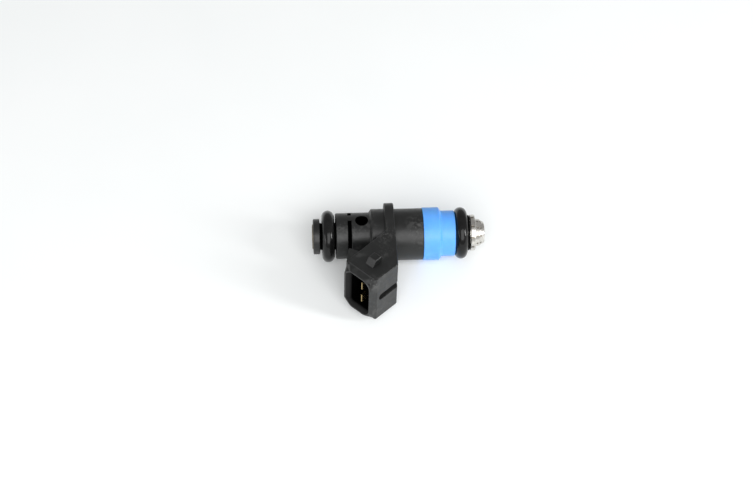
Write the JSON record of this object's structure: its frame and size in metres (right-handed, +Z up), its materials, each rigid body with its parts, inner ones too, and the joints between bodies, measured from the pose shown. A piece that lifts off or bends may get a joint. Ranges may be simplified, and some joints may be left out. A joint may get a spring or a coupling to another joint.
{
  "type": "fuel injector",
  "caption": "short top-feed fuel injector with an angled two-pin connector, a plate, a coloured lower sleeve, O-ring seals at both ends and a spring-closed ball valve",
  "frame": {"origin": "on the injector's axis, at the centre of the manifold O-ring", "axes": "+X along the axis and out of the nozzle, +Z up as the injector lies on the plate's lower edge and one latch lug, connector towards -Y, its middle plane rolled 5.9 degrees about X"},
  "size_m": [0.0485, 0.0327, 0.0206],
  "materials": {
    "black_plastic": "moulded, fine grain",
    "blue_plastic": "satin, moulded",
    "rubber": "smooth, slightly oily",
    "inlet_metal": "dull",
    "natural_plastic": "moulded",
    "steel_mesh": "woven",
    "steel": "turned",
    "soft_iron": "turned",
    "spring_steel": "drawn",
    "ball_steel": "polished",
    "copper": "enamelled",
    "terminal_metal": "stamped",
    "black_washer": "satin"
  },
  "bodies": {
    "root": {"overmould_housing": "black_plastic", "lower_sleeve": "blue_plastic", "rail_o_ring": "rubber", "manifold_o_ring": "rubber", "inlet_cap": "black_plastic", "inlet_tube": "inlet_metal", "filter_frame": "natural_plastic", "filter_screen": "steel_mesh", "adjusting_tube": "steel", "pole_piece": "soft_iron", "return_spring": "spring_steel", "coil_bobbin": "natural_plastic", "coil_winding": "copper", "coil_can": "soft_iron", "flux_washer": "soft_iron", "nonmagnetic_shell": "steel", "terminal_upper": "terminal_metal", "terminal_lower": "terminal_metal", "valve_body": "steel", "ball_guide": "steel", "valve_seat": "steel", "orifice_disc": "steel", "nozzle_cap": "steel", "ring_washer": "black_washer"},
    "needle": {"armature": "soft_iron", "armature_stem": "steel", "valve_ball": "ball_steel"}
  },
  "joints": [
    {"name": "needle_lift", "type": "slide", "parent": "root", "child": "needle", "axis": [-1, 0, 0], "range_m": [0, 0.00015], "stiffness_N_per_m": 3000, "deforming": ["return_spring"]}
  ]
}
